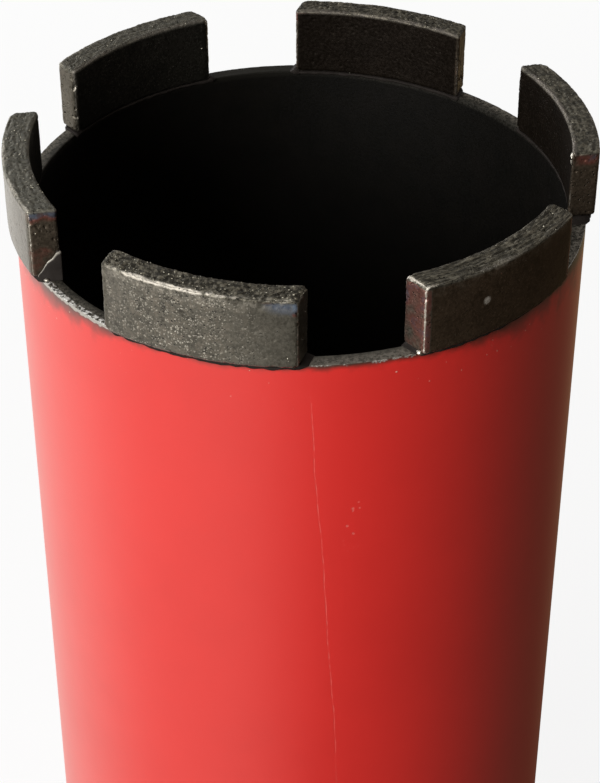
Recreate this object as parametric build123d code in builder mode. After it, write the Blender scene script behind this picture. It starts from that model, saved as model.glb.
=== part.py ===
# Diamond core bit, 76 mm, for drilling concrete and masonry.
#
# A thin steel barrel carries six sintered diamond segments, brazed to its rim with
# waterways between them. A turned back plate closes the other end, and a hub with a
# G 1/2 female thread is welded through the plate and screws on to the drill's spindle.
#
# Origin: the centre of the hub's end face, which seats on the spindle's shoulder.
# +Z runs along the axis to the cutting crown. Segment 1 is centred on +X.

import os
from math import cos, radians, sin

from build123d import *

# Driving dimensions, in millimetres and degrees

# Cutting crown
bit_diameter = 76.0            # over the segments: the hole that it drills
segment_count = 6
segment_length = 24.0          # straight across, between the parallel end faces
segment_height = 9.6           # 10 when new, a little lower once dressed
segment_corner_radius = 1.3    # leading and trailing top corners
segment_edge_radius = 0.4      # long top edges and upright end edges
segment_foot_bevel = 0.6       # along the bottom outer edge
outer_overhang = 1.0           # a segment stands out past the barrel's outside
inner_overhang = 0.5           # and past its inside

# Silver braze under each segment
braze_gap = 0.2                # film between the rim and the segment
braze_cover = 0.7              # share of a segment's free underside that it wets
braze_run_down = 0.6           # how far it runs down the barrel's walls
braze_end_length = 1.3         # fillet along the rim past each end face
braze_end_height = 1.0         # and up the end face
braze_sag = 0.12               # hollow of every fillet's surface

# Barrel
barrel_wall = 2.0
barrel_length = 150.0
rim_chamfer = 0.25             # on both edges of the rim

# Back plate
plate_thickness = 6.0          # flange, outside the barrel
plate_spigot_length = 5.0      # register, inside the barrel
plate_spigot_chamfer = 0.8
slip_clearance = 0.05          # radial, of a turned spigot in its seat

# Groove weld between the barrel and the plate
weld_root_face = 0.8           # wall left whole behind the groove
weld_crown = 0.3               # bead height over the barrel

# Hub
hub_diameter = 36.0
hub_length = 30.0              # end face to back plate
hub_chamfer = 1.0
hub_spigot_diameter = 26.0
spanner_size = 32.0            # across the two flats
spanner_flat_height = 18.0
hub_weld_leg = 3.5             # fillet weld round the hub's root
hub_weld_bulge = 0.3

# Spindle thread, G 1/2
thread_major_diameter = 20.955
thread_pitch = 25.4 / 14
thread_length = 25.0
thread_mouth_clearance = 0.3   # countersink, outside the major diameter
water_hole_diameter = 15.0     # from the thread into the barrel

# Worked out from the driving dimensions

segment_outer_radius = bit_diameter / 2
barrel_outer_radius = segment_outer_radius - outer_overhang
barrel_inner_radius = barrel_outer_radius - barrel_wall
segment_inner_radius = barrel_inner_radius - inner_overhang
crown_pitch = 360 / segment_count

plate_height = hub_length                          # underside of the plate
barrel_height = plate_height + plate_thickness     # the barrel stands on the flange
rim_height = barrel_height + barrel_length
seat_height = rim_height + braze_gap               # underside of the segments

weld_groove = barrel_wall - weld_root_face
plate_spigot_radius = barrel_inner_radius - slip_clearance
plate_inner_height = barrel_height + plate_spigot_length
plate_hole_radius = hub_spigot_diameter / 2 + slip_clearance

hub_radius = hub_diameter / 2
thread_depth = 0.640327 * thread_pitch             # Whitworth form
thread_bore_radius = thread_major_diameter / 2 - thread_depth
thread_mouth_radius = thread_major_diameter / 2 + thread_mouth_clearance
thread_mouth_depth = thread_mouth_radius - thread_bore_radius
water_hole_radius = water_hole_diameter / 2


def radial_plane(angle):
    """The upright half plane through the axis at an angle: x outwards, y up."""
    a = radians(angle)
    return Plane(origin=(0, 0, 0), x_dir=(cos(a), sin(a), 0), z_dir=(sin(a), -cos(a), 0))


def facing_plane(angle):
    """The upright plane that faces outwards at an angle: x along the rim, y up."""
    a = radians(angle)
    return Plane(origin=(0, 0, 0), x_dir=(-sin(a), cos(a), 0), z_dir=(cos(a), sin(a), 0))


def build_segment(angle):
    """One diamond segment, centred on an angle: a ring's stretch with flat parallel
    ends, its top corners and edges rounded as they are once it has been dressed."""
    with BuildPart() as segment:
        with BuildSketch(radial_plane(angle - crown_pitch / 2)):
            with BuildLine():
                Polyline(
                    (segment_inner_radius, seat_height),
                    (segment_outer_radius - segment_foot_bevel, seat_height),
                    (segment_outer_radius, seat_height + segment_foot_bevel),
                    (segment_outer_radius, seat_height + segment_height),
                    (segment_inner_radius, seat_height + segment_height),
                    close=True,
                )
            make_face()
        revolve(axis=Axis.Z, revolution_arc=crown_pitch)

        with BuildSketch(facing_plane(angle)) as side_view:
            with Locations((0, seat_height)):
                Rectangle(segment_length, segment_height, align=(Align.CENTER, Align.MIN))
            fillet(side_view.vertices().group_by(Axis.Z)[-1], segment_corner_radius)
        extrude(amount=segment_outer_radius, mode=Mode.INTERSECT)

        bevel_top = seat_height + segment_foot_bevel
        upper_edges = segment.edges().filter_by_position(
            Axis.Z, bevel_top, seat_height + segment_height, inclusive=(False, True)
        )
        across_the_wall = Axis((0, 0, 0), facing_plane(angle).z_dir)
        fillet(upper_edges - upper_edges.filter_by(across_the_wall), segment_edge_radius)
    return segment


def build_braze(angle):
    """The silver braze under one segment: a film on the rim, a fillet under each
    overhang and a hollow fillet up both end faces."""
    half_length = segment_length / 2
    outer_wetting = braze_cover * (outer_overhang - segment_foot_bevel)
    inner_wetting = braze_cover * inner_overhang

    with BuildPart() as end_fillets:
        with BuildSketch(facing_plane(angle)):
            with BuildLine():
                toe = (half_length + braze_end_length, rim_height)
                top = (half_length, seat_height + braze_end_height)
                Polyline(top, (half_length, rim_height), toe)
                SagittaArc(toe, top, -braze_sag)
            make_face()
            mirror(about=Plane.YZ)
        extrude(amount=barrel_outer_radius)
        with BuildSketch(Plane.XY.offset(rim_height)):
            Circle(barrel_outer_radius - rim_chamfer)
            Circle(barrel_inner_radius + rim_chamfer, mode=Mode.SUBTRACT)
        extrude(amount=segment_height, mode=Mode.INTERSECT)

    with BuildPart() as braze:
        with BuildSketch(radial_plane(angle - crown_pitch / 2)):
            with BuildLine():
                inner_lip = (barrel_inner_radius - inner_wetting, seat_height)
                outer_lip = (barrel_outer_radius + outer_wetting, seat_height)
                outer_toe = (barrel_outer_radius, rim_height - braze_run_down)
                inner_toe = (barrel_inner_radius, rim_height - braze_run_down)
                Line(inner_lip, outer_lip)
                SagittaArc(outer_lip, outer_toe, braze_sag)
                Polyline(
                    outer_toe,
                    (barrel_outer_radius, rim_height - rim_chamfer),
                    (barrel_outer_radius - rim_chamfer, rim_height),
                    (barrel_inner_radius + rim_chamfer, rim_height),
                    (barrel_inner_radius, rim_height - rim_chamfer),
                    inner_toe,
                )
                SagittaArc(inner_toe, inner_lip, braze_sag)
            make_face()
        revolve(axis=Axis.Z, revolution_arc=crown_pitch)
        with BuildSketch(facing_plane(angle)):
            with Locations((0, rim_height)):
                Rectangle(segment_length, segment_height)
        extrude(amount=segment_outer_radius, mode=Mode.INTERSECT)
        add(end_fillets.part)
    return braze


os.makedirs("parts", exist_ok=True)

# Barrel: a welded steel tube, grooved for the weld at its foot, its rim lightly broken

with BuildPart() as barrel:
    with BuildSketch(Plane.XY.offset(barrel_height)):
        Circle(barrel_outer_radius)
        Circle(barrel_inner_radius, mode=Mode.SUBTRACT)
    extrude(amount=barrel_length)
    chamfer(barrel.edges().group_by(Axis.Z)[-1], rim_chamfer)
    foot_edges = barrel.edges().group_by(Axis.Z)[0]
    chamfer(foot_edges.sort_by(SortBy.RADIUS)[-1], weld_groove)

barrel.part.label = "barrel"
export_step(barrel.part, "parts/barrel.step")

# Segments and the braze that holds them, one after the other round the rim

for index in range(segment_count):
    angle = index * crown_pitch

    segment = build_segment(angle)
    segment.part.label = f"segment_{index + 1}"
    export_step(segment.part, f"parts/segment_{index + 1}.step")

    braze = build_braze(angle)
    braze.part.label = f"braze_{index + 1}"
    export_step(braze.part, f"parts/braze_{index + 1}.step")

# Back plate: a turned disc whose register centres the barrel

with BuildPart() as back_plate:
    with BuildSketch(Plane.XY.offset(plate_height)):
        Circle(barrel_outer_radius)
    extrude(amount=plate_thickness)
    chamfer(back_plate.edges().group_by(Axis.Z)[-1], weld_groove)
    with BuildSketch(Plane.XY.offset(barrel_height)):
        Circle(plate_spigot_radius)
    extrude(amount=plate_spigot_length)
    chamfer(back_plate.edges().group_by(Axis.Z)[-1], plate_spigot_chamfer)
    Hole(plate_hole_radius)

back_plate.part.label = "back_plate"
export_step(back_plate.part, "parts/back_plate.step")

# Groove weld: fills the V between the barrel's foot and the plate

with BuildPart() as plate_weld:
    with BuildSketch(Plane.XZ):
        with BuildLine():
            groove_root = (barrel_outer_radius - weld_groove, barrel_height)
            groove_top = (barrel_outer_radius, barrel_height + weld_groove)
            groove_foot = (barrel_outer_radius, barrel_height - weld_groove)
            bead_crest = (barrel_outer_radius + weld_crown, barrel_height)
            Polyline(groove_foot, groove_root, groove_top)
            ThreePointArc(groove_top, bead_crest, groove_foot)
        make_face()
    revolve(axis=Axis.Z)

plate_weld.part.label = "plate_weld"
export_step(plate_weld.part, "parts/plate_weld.step")

# Hub: turned boss with a spigot through the plate, threaded from its end face, with
# a water passage into the barrel and two flats for a spanner

with BuildPart() as hub:
    with BuildSketch(Plane.XZ):
        with BuildLine():
            Polyline(
                (thread_mouth_radius, 0),
                (hub_radius - hub_chamfer, 0),
                (hub_radius, hub_chamfer),
                (hub_radius, plate_height),
                (hub_spigot_diameter / 2, plate_height),
                (hub_spigot_diameter / 2, plate_inner_height),
                (water_hole_radius, plate_inner_height),
                (water_hole_radius, thread_length + thread_bore_radius - water_hole_radius),
                (thread_bore_radius, thread_length),
                (thread_bore_radius, thread_mouth_depth),
                close=True,
            )
        make_face()
    revolve(axis=Axis.Z)
    with BuildSketch(Plane.XY):
        Circle(hub_diameter)
        Rectangle(2 * hub_diameter, spanner_size, mode=Mode.SUBTRACT)
    extrude(amount=spanner_flat_height, mode=Mode.SUBTRACT)

hub.part.label = "hub"
export_step(hub.part, "parts/hub.step")

# Fillet weld round the hub's root, under the plate

with BuildPart() as hub_weld:
    with BuildSketch(Plane.XZ):
        with BuildLine():
            weld_foot = (hub_radius, plate_height - hub_weld_leg)
            weld_toe = (hub_radius + hub_weld_leg, plate_height)
            Polyline(weld_foot, (hub_radius, plate_height), weld_toe)
            SagittaArc(weld_toe, weld_foot, hub_weld_bulge)
        make_face()
    revolve(axis=Axis.Z)

hub_weld.part.label = "hub_weld"
export_step(hub_weld.part, "parts/hub_weld.step")
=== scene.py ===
import math
import bpy
import bmesh
import numpy as np
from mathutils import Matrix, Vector, noise


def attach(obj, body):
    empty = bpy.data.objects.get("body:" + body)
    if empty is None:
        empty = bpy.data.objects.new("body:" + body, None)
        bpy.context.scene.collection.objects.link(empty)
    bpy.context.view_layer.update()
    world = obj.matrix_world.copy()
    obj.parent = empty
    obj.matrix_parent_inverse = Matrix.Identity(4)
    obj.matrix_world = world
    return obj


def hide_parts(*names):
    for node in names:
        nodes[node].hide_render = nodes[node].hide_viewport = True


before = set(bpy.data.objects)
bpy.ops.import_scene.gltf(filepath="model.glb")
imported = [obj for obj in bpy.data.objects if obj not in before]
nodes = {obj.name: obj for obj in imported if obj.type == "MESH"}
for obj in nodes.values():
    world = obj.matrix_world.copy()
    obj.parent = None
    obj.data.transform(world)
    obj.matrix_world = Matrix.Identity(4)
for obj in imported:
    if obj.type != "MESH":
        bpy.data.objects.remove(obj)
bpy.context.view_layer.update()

mm = 0.001
cameraTurn = 258.83    # degrees round the bit at which the camera stands


# small helpers for node trees, used by the shapes and by the materials

def put(tree, kind, **settings):
    node = tree.nodes.new(kind)
    for name, value in settings.items():
        setattr(node, name, value)
    return node


def sumOf(operation, turnedRound=False):
    def method(first, second):
        return do(operation, second, first) if turnedRound else do(operation, first, second)
    return method


class Field:    # a value that changes over a surface, so that sums of nodes read as sums
    __add__, __radd__ = sumOf("ADD"), sumOf("ADD", True)
    __sub__, __rsub__ = sumOf("SUBTRACT"), sumOf("SUBTRACT", True)
    __mul__, __rmul__ = sumOf("MULTIPLY"), sumOf("MULTIPLY", True)
    __truediv__ = sumOf("DIVIDE")

    def __init__(self, socket):
        self.socket = socket


def feed(socket, value):
    if isinstance(value, Field):
        value = value.socket
    if isinstance(value, bpy.types.NodeSocket):
        socket.id_data.links.new(value, socket)
    else:
        socket.default_value = value


def fed(node, **values):    # the inputs of a node by name, an underscore standing for a space
    for name, value in values.items():
        feed(node.inputs[name.replace("_", " ")], value)
    return node


def ownNode(kind, values, **settings):    # a node in the tree that its own values come from
    tree = next(value for value in values if isinstance(value, Field)).socket.id_data
    node = put(tree, kind, **settings)
    for socket, value in zip(node.inputs, values):
        feed(socket, value)
    return node


def outputsOf(node):
    return {socket.name: Field(socket) for socket in node.outputs}


def source(tree, kind, output, **settings):    # what a node without inputs gives
    return Field(put(tree, kind, **settings).outputs[output])


def do(operation, *values, clamp=False):
    return Field(ownNode("ShaderNodeMath", values, operation=operation, use_clamp=clamp).outputs[0])


def vectorCalc(operation, *values):
    node = ownNode("ShaderNodeVectorMath", values, operation=operation)
    return Field(node.outputs["Value" if operation in ("LENGTH", "DOT_PRODUCT") else "Vector"])


def scaled(vector, factor):
    node = ownNode("ShaderNodeVectorMath", [vector], operation="SCALE")
    return Field(fed(node, Scale=factor).outputs["Vector"])


def joinXyz(x, y, z):
    return Field(ownNode("ShaderNodeCombineXYZ", (x, y, z)).outputs[0])


def splitXyz(vector):
    return [Field(socket) for socket in ownNode("ShaderNodeSeparateXYZ", [vector]).outputs]


def outward(where, degrees):    # how far a place lies out in a level direction
    turn = math.radians(degrees)
    return vectorCalc("DOT_PRODUCT", where, (math.cos(turn), math.sin(turn), 0.0))


def remap(value, low, high, toLow=0.0, toHigh=1.0):
    values = (value, low, high, toLow, toHigh)
    return Field(ownNode("ShaderNodeMapRange", values, interpolation_type="SMOOTHSTEP").outputs["Result"])


def cloud(where, scale, detail=3.0, roughness=0.55):
    node = ownNode("ShaderNodeTexNoise", [where])
    return Field(fed(node, Scale=scale, Detail=detail, Roughness=roughness).outputs["Fac"])


def cells(where, scale):
    return outputsOf(fed(ownNode("ShaderNodeTexVoronoi", [where]), Scale=scale))


def mixed(factor, first, second, kind="MIX"):
    node = put(factor.socket.id_data, "ShaderNodeMix", data_type="RGBA", blend_type=kind)
    for index, value in ((0, factor), (6, first), (7, second)):
        feed(node.inputs[index], value)
    return Field(node.outputs[2])


def rampOf(level, stops):
    node = ownNode("ShaderNodeValToRGB", [level])
    elements = node.color_ramp.elements
    while len(elements) < len(stops):
        elements.new(0.5)
    for element, (place, colour) in zip(elements, stops):
        element.position = place
        element.color = (*colour, 1.0)
    return Field(node.outputs["Color"])


def newGroup(name, kind, inputs, outputs):    # an input is a number to start with, or a kind of socket
    tree = bpy.data.node_groups.new(name, kind)
    for label, value in inputs.items():
        kind = {float: "Float", int: "Int"}.get(type(value), value)
        socket = tree.interface.new_socket(label, in_out="INPUT", socket_type=f"NodeSocket{kind}")
        if kind != value:
            socket.default_value = value
    for label, kind in outputs.items():
        tree.interface.new_socket(label, in_out="OUTPUT", socket_type=f"NodeSocket{kind}")
    return tree, outputsOf(put(tree, "NodeGroupInput")), put(tree, "NodeGroupOutput")


def useGroup(group, **values):
    node = put(values["Where"].socket.id_data, "ShaderNodeGroup", node_tree=group)
    return outputsOf(fed(node, **values))


# wear, grain, specks and heat colours, shared by the finishes (lengths in millimetres)

def makeWearGroup():
    inputs = {"Where": "Vector", "Edge": 0.0, "Reach": 0.5, "Scale": 1.2, "Patchy": 0.5}
    tree, given, result = newGroup("edgeWear", "ShaderNodeTree", inputs, {"Mask": "Float"})
    bite = (cloud(given["Where"], given["Scale"], 5.0, 0.65) - 0.5) * 1.3
    patch = (cloud(given["Where"], 0.12, 2.0) - 0.5) * given["Patchy"]
    level = given["Edge"] + bite + patch
    start = 1.0 - given["Reach"]
    mask = remap(level, start, start + 0.22)
    fed(result, Mask=mask * remap(given["Edge"], 0.0, 0.12))
    return tree


def makeGrainGroup():
    inputs = {"Where": "Vector", "Fine Scale": 3.0, "Coarse Scale": 0.4}
    tree, given, result = newGroup("grain", "ShaderNodeTree", inputs,
                                   {"Fine": "Float", "Coarse": "Float", "Pits": "Float"})
    fine = cloud(given["Where"], given["Fine Scale"], 4.0, 0.7)
    coarse = cloud(given["Where"], given["Coarse Scale"], 3.0, 0.6)
    pit = cells(given["Where"], given["Fine Scale"] * 0.8)["Distance"]
    fed(result, Fine=fine, Coarse=coarse, Pits=remap(pit, 0.14, 0.3, 1.0, 0.0))
    return tree


def makeSpeckGroup():
    inputs = {"Where": "Vector", "Scale": 2.0, "Size": 0.2, "Share": 0.2}
    tree, given, result = newGroup("specks", "ShaderNodeTree", inputs, {"Mask": "Float", "Tone": "Float"})
    drift = fed(ownNode("ShaderNodeTexNoise", [given["Where"]]), Scale=2.5)
    bend = scaled(Field(drift.outputs["Color"]), 0.35)
    spot = cells(vectorCalc("ADD", given["Where"], bend), given["Scale"])
    pick, tone = splitXyz(spot["Color"])[:2]
    kept = do("LESS_THAN", pick, given["Share"])
    size = given["Size"] * (0.5 + tone)
    inside = remap(spot["Distance"], size * 0.6, size, 1.0, 0.0)
    fed(result, Mask=kept * inside, Tone=tone)
    return tree


heatStops = (
    (0.0, (0.14, 0.11, 0.085)), (0.3, (0.28, 0.092, 0.069)), (0.55, (0.27, 0.087, 0.068)),
    (0.75, (0.14, 0.13, 0.16)), (0.95, (0.20, 0.28, 0.42)),
)


def makeHeatGroup():
    inputs = {"Where": "Vector", "Level": 0.5}
    tree, given, result = newGroup("heatTint", "ShaderNodeTree", inputs, {"Tint": "Color", "Mask": "Float"})
    drift = (cloud(given["Where"], 0.45, 4.0) - 0.5) * 1.2
    level = given["Level"] + drift
    fed(result, Tint=rampOf(level, heatStops), Mask=remap(level, 0.2, 0.7))
    return tree


edgeWear = makeWearGroup()
grain = makeGrainGroup()
specks = makeSpeckGroup()
heatTint = makeHeatGroup()


def newFinish(name, **fixed):
    material = bpy.data.materials.new(name)
    material.use_nodes = True
    shader = fed(material.node_tree.nodes["Principled BSDF"], **fixed)
    return material, material.node_tree, shader


def inMillimetres(tree):
    return scaled(source(tree, "ShaderNodeTexCoord", "Object"), 1 / mm)


def attribute(tree, name, output):
    return source(tree, "ShaderNodeAttribute", output, attribute_name=name)


def bumpFrom(shader, height, distance):
    bump = fed(put(shader.id_data, "ShaderNodeBump"), Height=height, Distance=distance)
    fed(shader, Normal=bump.outputs["Normal"])


# red paint

paintLook = {    # colours and shares, then lengths in millimetres
    "red": (0.70, 0.021, 0.017, 1), "deepRed": (0.58, 0.013, 0.010, 1), "darkUnderRim": (0.035, 0.018, 0.010, 1),
    "bare": (0.62, 0.60, 0.55, 1), "inside": (0.035, 0.030, 0.025, 1), "scuffed": (0.8, 0.32, 0.27, 1),
    "spatter": (0.75, 0.55, 0.45, 1), "roughness": 0.42, "coat": 0.75, "coatRoughness": 0.32, "coatIor": 1.75,
    "sheen": 0.04, "sheenRoughness": 0.4, "rimHeight": 186.0, "radius": 37.0, "bump": 0.012,
    "scratchTurn": 1.1, "scratchLean": 0.056, "scratchWidth": 0.055, "scratchStart": 184.0,
    "scratchEnd": 90.0, "scuffTurn": 6.4, "scuffHeight": 162.0, "scuffHalfWidth": 1.6, "scuffHalfHeight": 5.5,
}


def makeRedPaint(name, scuffed, bareAbove=None):
    look = paintLook
    material, tree, shader = newFinish(name, Specular_IOR_Level=0.5, Coat_Weight=look["coat"],
                                       Coat_Roughness=look["coatRoughness"], Coat_IOR=look["coatIor"],
                                       Sheen_Weight=look["sheen"], Sheen_Roughness=look["sheenRoughness"])
    where = inMillimetres(tree)
    z = splitXyz(where)[2]
    speckle = useGroup(grain, Where=where, Fine_Scale=2.4, Coarse_Scale=0.05)
    colour = mixed(remap(speckle["Coarse"], 0.4, 0.8, 0.0, 0.35), look["red"], look["deepRed"])
    rough = look["roughness"] + speckle["Coarse"] * 0.1
    height = cloud(where, 0.9, 3.0)
    if scuffed:
        forward = outward(where, cameraTurn)
        side = outward(where, cameraTurn + 90)
        around = do("ARCTAN2", side, forward) * look["radius"]
        below = look["rimHeight"] - z
        # dark brown band under the rim, deeper on one side
        reach = 1.4 + remap(side, 12.0, 36.0, 0.0, 5.5)
        reach = reach + remap(side, -14.0, -32.0, 0.0, 2.6)
        reach = reach * remap(cloud(where, 0.35, 4.0), 0.2, 0.8, 0.45, 1.5)
        darkUnderRim = do("POWER", remap(below / reach, 0.0, 1.0, 1.0, 0.0), 1.5)
        colour = mixed(darkUnderRim, colour, look["darkUnderRim"])
        # one long hairline scratch with a scuffed patch beside it
        wander = (cloud(where, 0.06, 2.0) - 0.5) * 1.6
        line = below * look["scratchLean"] + look["scratchTurn"]
        away = do("ABSOLUTE", around - (line + wander))
        onLine = remap(away, look["scratchWidth"] * 0.4, look["scratchWidth"] * 1.8, 1.0, 0.0)
        start, end = look["scratchStart"], look["scratchEnd"]
        span = remap(z, start, start - 8, 0.0, 1.0) * remap(z, end, end + 50)
        broken = remap(cloud(where, 0.9, 4.0), 0.38, 0.62, 0.1, 1.0)
        offTurn = (around - look["scuffTurn"]) / look["scuffHalfWidth"]
        offHeight = (z - look["scuffHeight"]) / look["scuffHalfHeight"]
        off = vectorCalc("LENGTH", joinXyz(offTurn, offHeight, 0.0))
        marks = useGroup(specks, Where=where, Scale=1.5, Size=0.25, Share=0.42)
        scuff = marks["Mask"] * remap(off, 0.4, 1.1, 1.0, 0.0)
        scratch = do("MAXIMUM", onLine * span * broken, scuff)
        colour = mixed(scratch * 0.26, colour, look["scuffed"])
        rough = rough + scratch * 0.2
        # pale specks of spatter, thick near the rim
        spatter = useGroup(specks, Where=where, Scale=1.4, Size=0.13, Share=0.14)
        dots = spatter["Mask"] * remap(below, 0.5, 9.0, 0.85, 0.0)
        colour = mixed(dots, colour, look["spatter"])
        # paint chipped to bright steel along the rim, most on one side
        edge = remap(below, 0.0, 1.1, 1.0, 0.0) * remap(side, -2.0, -16.0, 0.55, 1.0)
        chipped = useGroup(edgeWear, Where=where, Edge=edge, Reach=0.42, Scale=1.5, Patchy=1.2)["Mask"]
        colour = mixed(chipped, colour, look["bare"])
        fed(shader, Metallic=chipped)
        rough = rough - chipped * 0.08
        height = height - chipped * 3.0 - scratch + dots * 3.0
    if bareAbove:    # no paint inside the barrel
        colour = mixed(do("GREATER_THAN", z, bareAbove), colour, look["inside"])
    fed(shader, Base_Color=colour, Roughness=rough)
    bumpFrom(shader, height, look["bump"] * mm)
    return material


# dark oxidised steel of the rim, and the bore below it painted near black as shade

boreLook = {
    "scrapedAndHighlitTurn": 210.0, "scrapedAndHighlit": (0.92, 0.90, 0.86, 1), "shadeBlack": (0.0025, 0.0025, 0.002, 1),
    "brownShade": (0.006, 0.005, 0.004, 1), "rimDark": (0.03, 0.028, 0.022, 1), "rimPale": (0.24, 0.22, 0.185, 1),
    "bump": 0.05,
}


def makeBoreSteel():
    look = boreLook
    material, tree, shader = newFinish("boreSteel", Specular_IOR_Level=0.12)
    where = inMillimetres(tree)
    x, y, z = splitXyz(where)
    radius = vectorCalc("LENGTH", joinXyz(x, y, 0.0))
    side = outward(where, look["scrapedAndHighlitTurn"])
    rust = useGroup(grain, Where=where, Fine_Scale=2.6, Coarse_Scale=0.3)
    atRim = remap(z, 185.0, 185.6) * remap(radius, 35.0, 35.3, 0.25, 1.0)
    # painted shade: the bore below the rim is near black
    dark = mixed(rust["Coarse"], look["shadeBlack"], look["brownShade"])
    rimTone = remap(rust["Fine"], 0.36, 0.64) * remap(radius, 35.2, 36.4, 0.35, 1.0)
    rimTone = rimTone * remap(y, 30.0, 34.0, 1.0, 0.0)
    rimTone = do("ADD", rimTone, remap(y, -33.5, -36.0, 0.0, 0.25), clamp=True)
    colour = mixed(atRim, dark, mixed(rimTone, look["rimDark"], look["rimPale"]))
    # the outer lip is scraped to bare steel, most on one side, with a painted highlight in near white there
    lip = remap(radius, 35.9, 36.5) * atRim * remap(side, 26.0, 33.0, 0.1, 1.0)
    scrapedAndHighlit = useGroup(edgeWear, Where=where, Edge=lip, Reach=0.42, Scale=2.4, Patchy=0.5)["Mask"]
    stretched = vectorCalc("MULTIPLY", where, (1.0, 1.0, 3.0))
    scrapedAndHighlit = scrapedAndHighlit * remap(cloud(stretched, 1.6, 5.0, 0.7), 0.46, 0.53)
    colour = mixed(scrapedAndHighlit, colour, look["scrapedAndHighlit"])
    rough = remap(rust["Fine"], 0.3, 0.7, 0.45, 0.65) - scrapedAndHighlit * 0.2
    fed(shader, Base_Color=colour, Metallic=atRim * (0.7 - scrapedAndHighlit * 0.35), Roughness=rough)
    bumpFrom(shader, rust["Fine"] + scrapedAndHighlit * 1.5, look["bump"] * mm)
    return material


# sintered metal and diamond of the segments; place = (across, along, up) from the segment's middle

matrixLook = {
    "dark": (0.090, 0.082, 0.064, 1), "pale": (0.175, 0.161, 0.130, 1), "worn": (0.70, 0.65, 0.57, 1),
    "flake": (0.52, 0.485, 0.41, 1), "blotch": (0.215, 0.187, 0.148, 1), "stain": (0.038, 0.032, 0.024, 1),
    "crownDark": (0.038, 0.034, 0.025, 1), "crownPale": (0.21, 0.19, 0.145, 1),
    "plainCrown": (0.15, 0.145, 0.12, 1), "smoke": (0.58, 0.44, 0.36, 1), "innerFlankShade": (0.012, 0.011, 0.009, 1),
    "splash": (0.30, 0.28, 0.25, 1), "pit": (0.010, 0.009, 0.007, 1), "innerEdge": (0.20, 0.175, 0.155, 1),
    "grey": (0.11, 0.115, 0.125, 1), "blued": (0.15, 0.19, 0.27, 1),
    "crystalDark": (0.05, 0.045, 0.03, 1), "crystalGlint": (0.62, 0.58, 0.46, 1),
    "metallic": 0.75, "coatRoughness": 0.25, "halfHeight": 4.8, "halfLength": 12.0, "bump": 0.04,
}


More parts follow.
